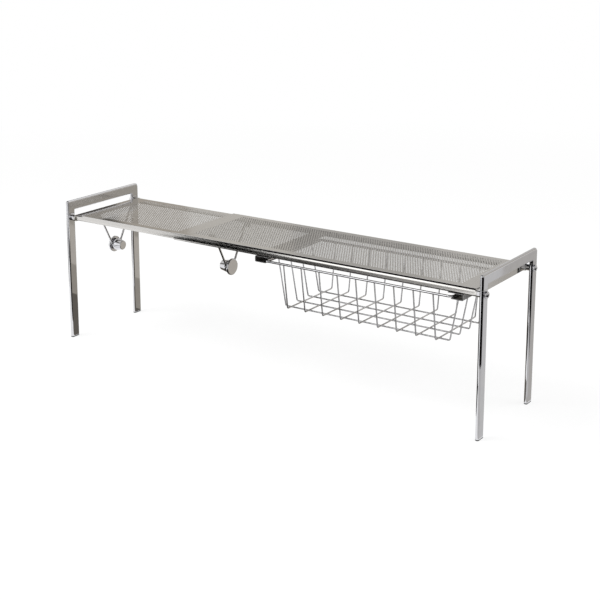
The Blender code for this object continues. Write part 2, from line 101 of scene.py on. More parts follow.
def polishedChrome():
    # Chrome plate over polished tube: a near mirror, with faint haze from wiping and a slow
    # waviness left by the polishing belt that bends long reflections
    look = chromeLook
    material, tree, shader, place = startFinish("polishedChrome", {"Metallic": 1.0})
    haze = addNode(tree, "ShaderNodeTexNoise",
                   values={"Scale": 1 / (look["hazeSize"] * mm), "Detail": 5.0, "Roughness": 0.6},
                   links={"Vector": place})
    rough = addNode(tree, "ShaderNodeMapRange",
                    values={"From Min": look["hazeFrom"], "From Max": look["hazeFull"],
                            "To Min": look["smoothest"], "To Max": look["hazy"]},
                    links={"Value": haze.outputs["Fac"]})
    tint = addNode(tree, "ShaderNodeMix", {"data_type": "RGBA"},
                   {6: srgb(look["deep"]), 7: srgb(look["pale"])},
                   {0: haze.outputs["Fac"]})
    wave = addNode(tree, "ShaderNodeTexNoise",
                   values={"Scale": 1 / (look["waveSize"] * mm), "Detail": 1.0},
                   links={"Vector": place})
    bump = addNode(tree, "ShaderNodeBump",
                   values={"Strength": 1.0, "Distance": look["waveHeight"] * mm},
                   links={"Height": wave.outputs["Fac"]})
    tree.links.new(rough.outputs["Result"], shader.inputs["Roughness"])
    tree.links.new(tint.outputs[2], shader.inputs["Base Color"])
    tree.links.new(bump.outputs["Normal"], shader.inputs["Normal"])
    return material


wireLook = dict(pale="#E2E2E4", deep="#CFCFD2", smoothest=0.10, hazy=0.24,
                hazeFrom=0.35, hazeFull=0.7,        # noise levels where a patch starts and is full
                grainSize=1.6, grainHeight=0.004, patchSize=22.4)        # mm


def chromedWire():
    # Chrome plate on drawn wire: bright but less flat than the tube, with fine lumps
    # and duller patches spread at random, such as barrel plating leaves near the welds
    look = wireLook
    material, tree, shader, place = startFinish("chromedWire", {"Metallic": 1.0})
    lumps = addNode(tree, "ShaderNodeTexNoise",
                    values={"Scale": 1 / (look["grainSize"] * mm), "Detail": 3.0},
                    links={"Vector": place})
    patches = addNode(tree, "ShaderNodeTexNoise",
                      values={"Scale": 1 / (look["patchSize"] * mm), "Detail": 2.0},
                      links={"Vector": place})
    rough = addNode(tree, "ShaderNodeMapRange",
                    values={"From Min": look["hazeFrom"], "From Max": look["hazeFull"],
                            "To Min": look["smoothest"], "To Max": look["hazy"]},
                    links={"Value": patches.outputs["Fac"]})
    tint = addNode(tree, "ShaderNodeMix", {"data_type": "RGBA"},
                   {6: srgb(look["pale"]), 7: srgb(look["deep"])},
                   {0: patches.outputs["Fac"]})
    bump = addNode(tree, "ShaderNodeBump",
                   values={"Strength": 1.0, "Distance": look["grainHeight"] * mm},
                   links={"Height": lumps.outputs["Fac"]})
    tree.links.new(rough.outputs["Result"], shader.inputs["Roughness"])
    tree.links.new(tint.outputs[2], shader.inputs["Base Color"])
    tree.links.new(bump.outputs["Normal"], shader.inputs["Normal"])
    return material


sheetLook = dict(pale="#DAD8D5", deep="#CDCBC8", smoothest=0.08, dullest=0.15,
                 dullFrom=0.7, dullFull=1.3,        # grain and cloud added: where dulling starts, is full
                 grainWidth=0.45, grainLength=38.0, grainHeight=0.0016, cloudSize=70.0)        # mm


def satinStainless():
    # Stainless strip with a rolled satin finish: fine grain runs the length of the shelf and
    # spreads the reflections along it; handling leaves slow, cloudy changes of gloss
    look = sheetLook
    material, tree, shader, place = startFinish("satinStainless", {"Metallic": 1.0})
    along = 1 / (look["grainLength"] * mm)
    across = 1 / (look["grainWidth"] * mm)
    stretched = addNode(tree, "ShaderNodeMapping",
                        values={"Scale": (along, across, across)}, links={"Vector": place})
    grain = addNode(tree, "ShaderNodeTexNoise", values={"Scale": 1.0, "Detail": 3.0},
                    links={"Vector": stretched.outputs["Vector"]})
    cloud = addNode(tree, "ShaderNodeTexNoise",
                    values={"Scale": 1 / (look["cloudSize"] * mm), "Detail": 3.0},
                    links={"Vector": place})
    both = addNode(tree, "ShaderNodeMath", {"operation": "ADD"},
                   links={0: grain.outputs["Fac"], 1: cloud.outputs["Fac"]})
    rough = addNode(tree, "ShaderNodeMapRange",
                    values={"From Min": look["dullFrom"], "From Max": look["dullFull"],
                            "To Min": look["smoothest"], "To Max": look["dullest"]},
                    links={"Value": both.outputs["Value"]})
    tint = addNode(tree, "ShaderNodeMix", {"data_type": "RGBA"},
                   {6: srgb(look["deep"]), 7: srgb(look["pale"])},
                   {0: grain.outputs["Fac"]})
    bump = addNode(tree, "ShaderNodeBump",
                   values={"Strength": 1.0, "Distance": look["grainHeight"] * mm},
                   links={"Height": grain.outputs["Fac"]})
    tree.links.new(rough.outputs["Result"], shader.inputs["Roughness"])
    tree.links.new(tint.outputs[2], shader.inputs["Base Color"])
    tree.links.new(bump.outputs["Normal"], shader.inputs["Normal"])
    return material


zincLook = dict(pale="#ABABAB", deep="#8C8C8D", smoothest=0.28, dullest=0.42,
                spangleSize=5.0)        # mm


def zincPlate():
    # Zinc plate on cold-rolled strip: greyer and duller than chrome, with small flat
    # crystals that each catch the light a little differently
    look = zincLook
    material, tree, shader, place = startFinish("zincPlate", {"Metallic": 1.0})
    spangle = addNode(tree, "ShaderNodeTexVoronoi",
                      values={"Scale": 1 / (look["spangleSize"] * mm)}, links={"Vector": place})
    tone = addNode(tree, "ShaderNodeSeparateColor", links={0: spangle.outputs["Color"]})
    rough = addNode(tree, "ShaderNodeMapRange",
                    values={"To Min": look["smoothest"], "To Max": look["dullest"]},
                    links={"Value": tone.outputs[0]})
    tint = addNode(tree, "ShaderNodeMix", {"data_type": "RGBA"},
                   {6: srgb(look["pale"]), 7: srgb(look["deep"])},
                   {0: tone.outputs[1]})
    tree.links.new(rough.outputs["Result"], shader.inputs["Roughness"])
    tree.links.new(tint.outputs[2], shader.inputs["Base Color"])
    return material


footLook = dict(body="#1D1D1F", worn="#2B2B2D", smoothest=0.42, dullest=0.62,
                grainSize=0.9, grainHeight=0.03)        # mm


def mouldedPolyethylene():
    # Low-density polyethylene foot caps: near black, waxy, with the fine grain of the mould
    look = footLook
    material, tree, shader, place = startFinish("mouldedPolyethylene", {"IOR": 1.51})
    grain = addNode(tree, "ShaderNodeTexNoise",
                    values={"Scale": 1 / (look["grainSize"] * mm), "Detail": 4.0},
                    links={"Vector": place})
    rough = addNode(tree, "ShaderNodeMapRange",
                    values={"To Min": look["smoothest"], "To Max": look["dullest"]},
                    links={"Value": grain.outputs["Fac"]})
    tint = addNode(tree, "ShaderNodeMix", {"data_type": "RGBA"},
                   {6: srgb(look["body"]), 7: srgb(look["worn"])},
                   {0: grain.outputs["Fac"]})
    bump = addNode(tree, "ShaderNodeBump",
                   values={"Strength": 1.0, "Distance": look["grainHeight"] * mm},
                   links={"Height": grain.outputs["Fac"]})
    tree.links.new(rough.outputs["Result"], shader.inputs["Roughness"])
    tree.links.new(tint.outputs[2], shader.inputs["Base Color"])
    tree.links.new(bump.outputs["Normal"], shader.inputs["Normal"])
    return material


finishes = {"chrome": polishedChrome(), "wire": chromedWire(), "stainless": satinStainless(),
            "plain_steel": zincPlate(), "foot_plastic": mouldedPolyethylene()}


def roundedPath(corners, radii, steps):
    # Straight runs with round corners. Each arc touches both its runs; its point at share t is
    # centre + (start * sin((1 - t) * turn) + end * sin(t * turn)) / sin(turn)
    corners = np.array(corners, float)
    parts = []
    for i, here in enumerate(corners):
        if not radii[i]:
            parts.append(here[None])
            continue
        back = unit(corners[i - 1] - here)
        ahead = unit(corners[(i + 1) % len(corners)] - here)
        half = np.arccos(np.clip(back @ ahead, -1, 1)) / 2
        centre = here + unit(back + ahead) * radii[i] / np.sin(half)
        start = here + back * radii[i] / np.tan(half) - centre
        end = here + ahead * radii[i] / np.tan(half) - centre
        turn = np.pi - 2 * half
        t = np.linspace(0, 1, steps + 1)[:, None]
        arc = (start * np.sin((1 - t) * turn) + end * np.sin(t * turn)) / np.sin(turn)
        parts.append(centre + arc)
    return np.concatenate(parts)


def mitred(path, closed=False):
    # The direction of a path at each point, halfway between its two runs, and the stretch
    # 1 / cos(half the turn) that keeps a carried section's width there
    into = unit(path - np.roll(path, 1, axis=0))
    out = np.roll(into, -1, axis=0)
    if not closed:
        into[0] = out[0]
        out[-1] = into[-1]
    along = unit(into + out)
    stretch = 1 / np.sum(along * into, axis=-1, keepdims=True)
    return along, stretch


def offsetLine(line, distance):
    # A flat line moved sideways by a distance to its right, (x, y) -> (x, y) + d * (ty, -tx)
    along, stretch = mitred(line)
    right = np.stack([along[:, 1], -along[:, 0]], axis=-1)
    return line + right * stretch * distance


def gridFaces(rows, columns, wrapRows=False, wrapColumns=True):
    # Four corners for each cell of a grid of points numbered row by row
    r = np.arange(rows if wrapRows else rows - 1)[:, None]
    c = np.arange(columns if wrapColumns else columns - 1)[None]
    nextRow, nextColumn = (r + 1) % rows, (c + 1) % columns
    cell = np.stack(np.broadcast_arrays(r * columns + c, r * columns + nextColumn,
                                        nextRow * columns + nextColumn, nextRow * columns + c), -1)
    return cell.reshape(-1, 4).tolist()


def endFaces(rows, columns):
    # The first and the last ring of a grid, each as one face
    last = (rows - 1) * columns
    return [list(range(columns))[::-1], list(range(last, last + columns))]


def addPiece(name, points, faces, body, slot, nodes=(), sharpAngle=32):
    # A closed mesh in the frame's own axes, smooth but for its real edges, that rides on a body
    mesh = bpy.data.meshes.new(name)
    mesh.from_pydata(np.asarray(points).reshape(-1, 3).tolist(), [], faces)
    solid = bmesh.new()
    solid.from_mesh(mesh)
    bmesh.ops.remove_doubles(solid, verts=solid.verts, dist=weldReach)
    bmesh.ops.recalc_face_normals(solid, faces=solid.faces)
    solid.to_mesh(mesh)
    solid.free()
    mesh.shade_smooth()
    mesh.set_sharp_from_angle(angle=math.radians(sharpAngle))
    mesh.materials.append(finishes[slot])
    piece = bpy.data.objects.new(name, mesh)
    bpy.context.scene.collection.objects.link(piece)
    keepFlat = piece.modifiers.new("keepFlat", "WEIGHTED_NORMAL")
    keepFlat.keep_sharp = True
    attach(piece, body)
    if nodes:
        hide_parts(*nodes)


print("end frames and legs")

tube = dict(wide=18.4, railTall=18.5, wall=1.0, edge=2.8, boreEdge=1.8, frontCorner=3.0,
            rearCorner=6.5, slotCorner=1.0, endBreak=0.25,        # mm
            arcSteps=10, edgeSteps=8)
halfOf = {"right": "outer_half", "left": "inner_half"}


def endFrame(side):
    # The inverted U lies between an outer and an inner line; each long edge is rounded about
    # its own line: inset = r (1 - cos a), depth = half thickness - r + r sin a
    low, high = (np.array(corner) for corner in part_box(f"{side}_frame"))
    y, inner = high[1], high[1] - tube["wide"] * mm
    slotTop = high[2] - tube["railTall"] * mm
    steps = tube["arcSteps"]
    front, rear, slot = (tube[k] * mm for k in ("frontCorner", "rearCorner", "slotCorner"))
    outside = roundedPath([(-y, low[2]), (-y, high[2]), (y, high[2]), (y, low[2])],
                          [0, front, rear, 0], steps)
    inside = roundedPath([(-inner, low[2]), (-inner, slotTop), (inner, slotTop), (inner, low[2])],
                         [0, slot, slot, 0], steps)
    edge, half = tube["edge"] * mm, (high[0] - low[0]) / 2
    a = np.linspace(0, np.pi / 2, tube["edgeSteps"] + 1)
    inset, depth = edge * (1 - np.cos(a)), half - edge + edge * np.sin(a)
    ring = [(outside, i, d) for i, d in zip(inset, depth)]
    ring += [(inside, -i, d) for i, d in zip(inset[::-1], depth[::-1])]
    ring += [(inside, -i, -d) for i, d in zip(inset, depth)]
    ring += [(outside, i, -d) for i, d in zip(inset[::-1], depth[::-1])]
    middle = (low[0] + high[0]) / 2
    columns = []
    for line, i, d in ring:
        moved = offsetLine(line, i)
        columns.append(np.column_stack([np.full(len(moved), middle + d), moved]))
    points = np.stack(columns, axis=1)
    rows, count = points.shape[:2]
    faces = gridFaces(rows, count) + endFaces(rows, count)
    addPiece(f"{side}EndFrame", points, faces, halfOf[side], "chrome", [f"{side}_frame"])


def rectangleRing(width, depth, radius, steps):
    # A rectangle about its middle with round corners
    w, d = width / 2, depth / 2
    return roundedPath([(-w, -d), (w, -d), (w, d), (-w, d)], [radius] * 4, steps)


def legTube(side, place):
    # The tube's wall as rings up its outside and down its bore, with the cut ends broken
    node = f"{side}_{place}_leg"
    low, high = (np.array(corner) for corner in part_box(node))
    width, depth = (high - low)[:2]
    middle = (low + high)[:2] / 2
    wall, edge, nick = tube["wall"] * mm, tube["edge"] * mm, tube["endBreak"] * mm
    bore = tube["boreEdge"] * mm
    bands = [(wall, bore, low[2]), (nick, edge - nick, low[2]), (0, edge, low[2] + nick),
             (0, edge, high[2] - nick), (nick, edge - nick, high[2]), (wall, bore, high[2])]
    rings = []
    for inset, radius, z in bands:
        flat = rectangleRing(width - 2 * inset, depth - 2 * inset, radius, tube["edgeSteps"])
        rings.append(np.column_stack([flat + middle, np.full(len(flat), z)]))
    points = np.stack(rings)
    addPiece(f"{side}{place.capitalize()}Leg", points, gridFaces(*points.shape[:2], wrapRows=True),
             halfOf[side], "chrome", [node])


bolt = dict(head=5.8, headTall=4.4, headRim=1.4, rimBreak=0.3, shank=1.75,        # mm
            sides=48, domeSteps=10)


def turned(profile, centre, sides):
    # A profile of (x, radius) turned about the X axis through a centre:
    # (x, r cos a, r sin a), where 0 * a gives every side the profile's x
    a = np.linspace(0, 2 * np.pi, sides, endpoint=False)
    x, r = profile[:, :1], profile[:, 1:]
    return np.stack([centre[0] + x + 0 * a, centre[1] + r * np.cos(a),
                     centre[2] + r * np.sin(a)], axis=-1)


def capBolt(side, place):
    # Domed head on the leg's outer face, with its shank back to the end plate. The dome is a
    # quarter ellipse: x = rim + rise * sin a, radius = head * cos a
    node = f"{side}_{place}_cap_bolt"
    low, high = (np.array(corner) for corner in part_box(node))
    outward = 1 if side == "right" else -1
    tip, tail = (high[0], low[0]) if outward > 0 else (low[0], high[0])
    seat = tip - outward * bolt["headTall"] * mm
    nick, rise = bolt["rimBreak"] * mm, (bolt["headTall"] - bolt["headRim"]) * mm
    head, shank = bolt["head"] * mm, bolt["shank"] * mm
    a = np.linspace(0, np.pi / 2, bolt["domeSteps"] + 1)
    dome = np.column_stack([bolt["headRim"] * mm + rise * np.sin(a), head * np.cos(a)])
    shaft = [((tail - seat) * outward, 0), ((tail - seat) * outward, shank), (0, shank),
             (0, head - nick), (nick, head)]
    profile = np.concatenate([shaft, dome]) * (outward, 1)
    centre = (seat, (low[1] + high[1]) / 2, (low[2] + high[2]) / 2)
    points = turned(profile, centre, bolt["sides"])
    addPiece(f"{side}{place.capitalize()}CapBolt", points, gridFaces(*points.shape[:2]),
             halfOf[side], "chrome", [node])


for side in halfOf:
    endFrame(side)
    for place in ("front", "rear"):
        legTube(side, place)
        capBolt(side, place)


print("perforated sheets")

sheet = dict(thick=0.3, edgeRadius=5.0, hemRadius=3.0, outerHem=9.0, innerHem=6.0,
             pitch=4.6, holeRadius=1.4, endMargin=29.5, edgeMargin=18.0,        # mm
             foldSteps=8, stations=13,        # steps in a bend, cross-sections along a fold
             sharpAngle=50)        # degrees


def stitch(fine, coarse, key):
    # Triangles between two lines that run the same way. Each fine run takes the coarse point
    # nearest to its middle, and each coarse run the fine point where that choice changes
    middles = (fine[:-1, key] + fine[1:, key]) / 2
    nearest = np.abs(middles[:, None] - coarse[None, :, key]).argmin(axis=1)
    first = np.searchsorted(nearest, np.arange(len(coarse) - 1), side="right")
    i, j = np.arange(len(fine) - 1), np.arange(len(coarse) - 1)
    shift = len(fine)
    fans = np.stack([i, i + 1, nearest + shift], axis=-1)
    steps = np.stack([j + shift, j + 1 + shift, first], axis=-1)
    return np.concatenate([fine, coarse]), np.concatenate([fans, steps]).tolist()


def perforatedSheet(name, node, hem, body):
    # One half of the shelf in patches whose edges meet: two folded edges, the field of holes
    # between them, and the plain margins round it
    low, high = (np.array(corner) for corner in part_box(node))
    thick, pitch = sheet["thick"] * mm, sheet["pitch"] * mm
    half, top = high[1], high[2]
    patches = []

    # The long edges: down, round, and back in under the shelf as a hem
    corners = [(hem * mm - half, low[2]), (-half, low[2]), (-half, top), (0, top)]
    skin = roundedPath(corners, [0, sheet["hemRadius"] * mm, sheet["edgeRadius"] * mm, 0],
                       sheet["foldSteps"])
    back = offsetLine(skin, thick)[:-1]
    skin = skin[:-1]
    back[-1, 0] = skin[-1, 0]        # square under the skin, where the flat top begins
    section = np.concatenate([skin, back[::-1]])
    stations = np.linspace(low[0], high[0], sheet["stations"])
    count = len(skin)
    for mirror in (1, -1):
        flat = section * (mirror, 1)
        grid = np.concatenate([np.column_stack([np.full(len(flat), x), flat]) for x in stations])
        cells = np.array(gridFaces(len(stations), len(flat)))
        cells = cells.reshape(len(stations) - 1, len(flat), 4)
        kept = np.arange(len(flat)) != count - 1        # there the fold runs into the flat top
        patches.append((grid, cells[:, kept].reshape(-1, 4).tolist()))
        i = np.arange(count - 1)
        wall = np.stack([i, i + 1, 2 * count - 2 - i, 2 * count - 1 - i], axis=-1)
        for start in (0, (len(stations) - 1) * 2 * count):
            patches.append((grid, (wall + start).tolist()))

    # The flat top: a hole at each point of a 60 degree grid, each in its own brick. A brick's
    # outline has six points, and its hole eight, at the radius that gives them a circle's area
    rowPitch = pitch * math.sin(math.pi / 3)
    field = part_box("outer_sheet")[1][1] - sheet["edgeMargin"] * mm
    rows = int(2 * field / rowPitch)
    x0, x1 = low[0] + sheet["endMargin"] * mm, high[0] - sheet["endMargin"] * mm
    columns = int((x1 - x0) / pitch)
    middle = (x0 + x1) / 2
    rowAt = (np.arange(rows + 1) - rows / 2) * rowPitch
    columnAt = middle + (np.arange(columns + 1) - columns / 2) * pitch
    even = np.stack(np.meshgrid(columnAt, rowAt[::2]), -1).reshape(-1, 2)
    odd = np.stack(np.meshgrid(columnAt[:-1] + pitch / 2, rowAt[1::2]), -1).reshape(-1, 2)
    centres = np.concatenate([even, odd])
    w, h = pitch / 2, rowPitch / 2
    brick = np.array([(w, -h), (w, h), (0, h), (-w, h), (-w, -h), (0, -h)])
    sides = 8        # the faces below join them to the brick's six points
    a = (np.arange(sides) - 0.5) * 2 * np.pi / sides
    radius = sheet["holeRadius"] * mm * math.sqrt(2 * np.pi / sides / math.sin(2 * np.pi / sides))
    hole = radius * np.column_stack([np.cos(a), np.sin(a)])
    outlines = centres[:, None] + np.concatenate([brick, hole])[None]
    planPoints = outlines.reshape(-1, 2)
    first = np.arange(len(centres))[:, None, None] * len(outlines[0])
    quads = np.array([(0, 1, 7, 6), (1, 2, 8, 7), (2, 3, 10, 9), (3, 4, 11, 10), (4, 5, 12, 11),
                      (5, 0, 6, 13)])
    corners = np.array([(2, 9, 8), (5, 13, 12)])
    planFaces = (quads[None] + first).reshape(-1, 4).tolist()
    planFaces += (corners[None] + first).reshape(-1, 3).tolist()

    # Half bricks fill the ends of the odd rows
    ends = []
    for end, xEnd in ((1, columnAt[0]), (-1, columnAt[-1])):
        shape = np.array([(-w, -h), (0, -h), (0, h), (-w, h)])
        for y in rowAt[1::2]:
            ends.append(shape * (end, 1) + (xEnd, y))

    # Plain margins from the field out to the folds and the cut ends
    fieldX = (columnAt[0] - w, columnAt[-1] + w)
    fieldY = (rowAt[0] - h, rowAt[-1] + h)
    foldY = skin[-1, 0]
    margins = []
    for y, yOut in ((fieldY[0], foldY), (fieldY[1], -foldY)):
        border = np.arange(2 * columns + 3) * w + fieldX[0]
        fine = np.column_stack([border, np.full(len(border), y)])
        coarse = np.column_stack([stations, np.full(len(stations), yOut)])
        margins.append(stitch(fine, coarse, 0))
    sideLine = np.concatenate([rowAt - h, rowAt[-1:] + h])
    for x, xOut in ((fieldX[0], low[0]), (fieldX[1], high[0])):
        fine = np.column_stack([np.full(len(sideLine), x), sideLine])
        coarse = np.array([(xOut, foldY), (xOut, -foldY)])
        margins.append(stitch(fine, coarse, 1))
        wall = [(xOut, foldY, top), (xOut, -foldY, top), (xOut, -foldY, top - thick),
                (xOut, foldY, top - thick)]
        patches.append((np.array(wall), [[0, 1, 2, 3]]))

    for z in (top, top - thick):
        patches.append((np.column_stack([planPoints, np.full(len(planPoints), z)]), planFaces))
        for flat in ends:
            patches.append((np.column_stack([flat, np.full(len(flat), z)]), [[0, 1, 2, 3]]))
        for flat, triangles in margins:
            patches.append((np.column_stack([flat, np.full(len(flat), z)]), triangles))
    rims = outlines[:, len(brick):].reshape(-1, 2)
    upper = np.column_stack([rims, np.full(len(rims), top)])
    lower = np.column_stack([rims, np.full(len(rims), top - thick)])
    start = np.arange(len(centres))[:, None, None] * sides
    k = np.arange(sides)
    n = (k + 1) % sides
    wallCells = np.stack([k, n, n + len(rims), k + len(rims)], axis=-1)[None] + start
    patches.append((np.concatenate([upper, lower]), wallCells.reshape(-1, 4).tolist()))

    points, faces, base = [], [], 0
    for patchPoints, patchFaces in patches:
        points.append(patchPoints)
        faces += [[v + base for v in face] for face in patchFaces]
        base += len(patchPoints)
    addPiece(name, np.concatenate(points), faces, body, "stainless", [node],
             sharpAngle=sheet["sharpAngle"])
    print("  ", name, len(centres), "holes")


perforatedSheet("outerPerforatedSheet", "outer_sheet", sheet["outerHem"], "outer_half")
perforatedSheet("innerPerforatedSheet", "inner_sheet", sheet["innerHem"], "inner_half")


print("wire basket")

basket = dict(rim=2.0, wire=1.2, rimCorner=6.0, bend=2.6, slopeLong=15.5, slopeCross=12.2,
              weldWide=1.5, weldTall=1.0,        # mm
              endBreak=0.35,        # share of the wire's radius that a cut end is broken by
              crossCount=9, longCount=4, sides=16, bendSteps=8, weldSides=10, weldRings=6)


def carriedWire(path, across, radius, sides, closed=False):
    # A round section carried along a flat path: path + r (across * cos a + side * sin a). The
    # cut ends are broken by a last ring of less radius
    path = np.array(path, float)
    along, stretch = mitred(path, closed)
    gauge = np.full((len(path), 1), radius)
    if not closed:
        nip = basket["endBreak"] * radius
        path = np.concatenate([path[:1], path[:1] + along[:1] * nip, path[1:-1],
                               path[-1:] - along[-1:] * nip, path[-1:]])
        along, stretch = (np.concatenate([v[:1], v, v[-1:]]) for v in (along, stretch))
        gauge = np.concatenate([gauge[:1] - nip, gauge, gauge[-1:] - nip])
    side = np.cross(np.array(across, float), along) * stretch
    a = np.linspace(0, 2 * np.pi, sides, endpoint=False)[None, :, None]
    ring = np.array(across, float) * np.cos(a) + side[:, None] * np.sin(a)
    points = path[:, None] + ring * gauge[:, None]
    rows = len(path)
    faces = gridFaces(rows, sides, wrapRows=closed)
    return points, faces if closed else faces + endFaces(rows, sides)


def hangingWire(name, node, axis, start, end, z, slope):
    # A U of wire at the node's place on one axis (0 is X, 1 is Y) that runs along the other:
    # down a slope, flat, and up again
    wire, bend = basket["wire"] * mm, basket["bend"] * mm
    low, high = (np.array(corner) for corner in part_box(node))
    at, floor = (low[axis] + high[axis]) / 2, low[2] + wire
    corners = np.zeros((4, 3))
    corners[:, axis] = at
    corners[:, 1 - axis] = (start, start + slope, end - slope, end)
    corners[:, 2] = (z, floor, floor, z)
    path = roundedPath(corners, [0, bend, bend, 0], basket["bendSteps"])
    addPiece(name, *carriedWire(path, np.eye(3)[axis], wire, basket["sides"]), "basket", "wire",
             [node])
    return at, floor


def basketWires():
    # The rim and the wires that hang inside it. It returns the places where they are welded
    rim = basket["rim"] * mm
    low, high = (np.array(corner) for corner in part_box("basket_rim"))
    z = (low[2] + high[2]) / 2
    x0, y0 = low[:2] + rim
    x1, y1 = high[:2] - rim
    corners = [(x0, y0, z), (x1, y0, z), (x1, y1, z), (x0, y1, z)]
    path = roundedPath(corners, [basket["rimCorner"] * mm] * 4, basket["bendSteps"])
    addPiece("basketRim", *carriedWire(path, (0, 0, 1), rim, basket["sides"], closed=True),
             "basket", "wire", ["basket_rim"])
    inside = rim + gap + basket["wire"] * mm
    spots, crossAt = [], []
    for i in range(basket["crossCount"]):
        x, crossFloor = hangingWire(f"basketCrossWire{i + 1}", f"basket_cross_wire_{i + 1}", 0,
                                    y0 + inside, y1 - inside, z, basket["slopeCross"] * mm)
        crossAt.append(x)
        spots += [(x, y0 + rim, z), (x, y1 - rim, z)]
    for i in range(basket["longCount"]):
        y, floor = hangingWire(f"basketLongWire{i + 1}", f"basket_long_wire_{i + 1}", 1,
                               x0 + inside, x1 - inside, z, basket["slopeLong"] * mm)
        spots += [(x0 + rim, y, z), (x1 - rim, y, z)]
        spots += [(x, y, (crossFloor + floor) / 2) for x in crossAt]
    return np.array(spots)


def weldBeads(spots):
    # A small flattened ball where two wires are welded: w cos b cos a, w cos b sin a, t sin b
    wide, tall = basket["weldWide"] * mm, basket["weldTall"] * mm
    a = np.linspace(0, 2 * np.pi, basket["weldSides"], endpoint=False)[None]
    b = np.linspace(-np.pi / 2, np.pi / 2, basket["weldRings"])[:, None]
    ball = np.stack([wide * np.cos(b) * np.cos(a), wide * np.cos(b) * np.sin(a),
                     tall * np.sin(b) + 0 * a], axis=-1)
    points = spots[:, None, None] + ball[None]
    cells = np.array(gridFaces(*ball.shape[:2]))
    faces = cells[None] + np.arange(len(spots))[:, None, None] * ball.shape[0] * ball.shape[1]
    addPiece("basketWeldBeads", points, faces.reshape(-1, 4).tolist(), "basket", "wire")


weldBeads(basketWires())


print("roll holder")

holder = dict(wire=1.9, bend=8.3, topBend=4.0, disc=15.0, discThick=4.0, faceEdge=1.6,
              discEdge=1.0, neck=6.0, slotHalf=2.3, flange=11.2, flangeThick=2.0,
              flangeEdge=0.5, plugLong=15.0, tip=8.5, tipEdge=1.2,        # mm
              halfAngle=27.5,        # degrees
              bendSteps=12, wireSides=20, edgeSteps=5, sides=64)


def rollArm(side):
    # One wire bent to a V: straight legs, a round foot that cradles the cap, ends turned out
    node = f"{side}_roll_arm"
    low, high = (np.array(corner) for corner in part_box(node))
    x = (low[0] + high[0]) / 2
    capZ, pivotZ = jointAt[f"{side}_cap_spin"][2], jointAt[f"{side}_arm_swing"][2]
    lean = math.radians(holder["halfAngle"])
    bend, topBend, wire = (holder[k] * mm for k in ("bend", "topBend", "wire"))
    apex = capZ - bend / math.sin(lean)
    topY = (pivotZ - apex) * math.tan(lean)
    corners = [(x, low[1], pivotZ), (x, -topY, pivotZ), (x, 0, apex), (x, topY, pivotZ),
               (x, high[1], pivotZ)]
    path = roundedPath(corners, [0, topBend, bend, topBend, 0], holder["bendSteps"])
    addPiece(f"{side}RollArm", *carriedWire(path, (1, 0, 0), wire, holder["wireSides"]),
             f"{side}_arm", "wire", [node])


def rollCap(side):
    # Spool turned in one piece: outer disc, neck in the arm's foot, flange, tapered plug
    node = f"{side}_roll_cap"
    outward = -1 if side == "left" else 1
    x, y, z = jointAt[f"{side}_cap_spin"]
    slot, disc, neck, flange, tip = (holder[k] * mm for k in
                                     ("slotHalf", "disc", "neck", "flange", "tip"))
    face, back = slot + holder["discThick"] * mm, -slot - holder["flangeThick"] * mm
    end = -slot - holder["plugLong"] * mm
    faceEdge, edge, fine, tipEdge = (holder[k] * mm for k in
                                     ("faceEdge", "discEdge", "flangeEdge", "tipEdge"))
    corners = [(face, 0), (face, disc), (slot, disc), (slot, neck), (-slot, neck),
               (-slot, flange), (back, flange), (end, tip), (end, 0)]
    radii = [0, faceEdge, edge, fine, fine, fine, fine, tipEdge, 0]
    profile = roundedPath(corners, radii, holder["edgeSteps"])
    points = turned(profile * (outward, 1), (x, y, z), holder["sides"])
    addPiece(f"{side}RollCap", points, gridFaces(*points.shape[:2]), f"{side}_cap", "chrome",
             [node])


for side in ("left", "right"):
    rollArm(side)
    rollCap(side)


print("parts shown as packed")

for part in frame["record"]["subparts"]:
    node = frame["nodes"][part["node"]]
    if not node.hide_render:
        node.data.materials.clear()
        node.data.materials.append(finishes[part["material_slot"]])


print("floor, lights and camera")

studio = dict(floorTone="#F4F4F4", floorReach=30.0, fadeFrom=0.9, fadeTo=2.6,        # metres
              whiteShare=0.84, daylight=0.62)
softboxes = dict(        # place, size and power; both face the middle of the rack
    keySoftbox=((-0.9, -1.2, 2.2), (1.6, 1.1), 60.0),
    fillSoftbox=((1.6, 0.9, 1.6), (1.2, 1.2), 18.0))
lampAim = (0, 0, 0.2)
shot = dict(place=(1.2264, -1.7533, 0.8054), turn=34.276, drop=12.352,        # metres, degrees
            lens=77.07, sensor=36.0, shift=-0.20)        # mm, mm, share of the frame


def showsWhite(tree):
    # 1 for rays from the camera and for mirror and glass rays, so that they see the white sweep
    path = addNode(tree, "ShaderNodeLightPath")
    mirror = addNode(tree, "ShaderNodeMath", {"operation": "MAXIMUM"},
                     links={0: path.outputs["Is Camera Ray"], 1: path.outputs["Is Glossy Ray"]})
    return addNode(tree, "ShaderNodeMath", {"operation": "MAXIMUM"},
                   links={0: mirror.outputs["Value"], 1: path.outputs["Is Transmission Ray"]})


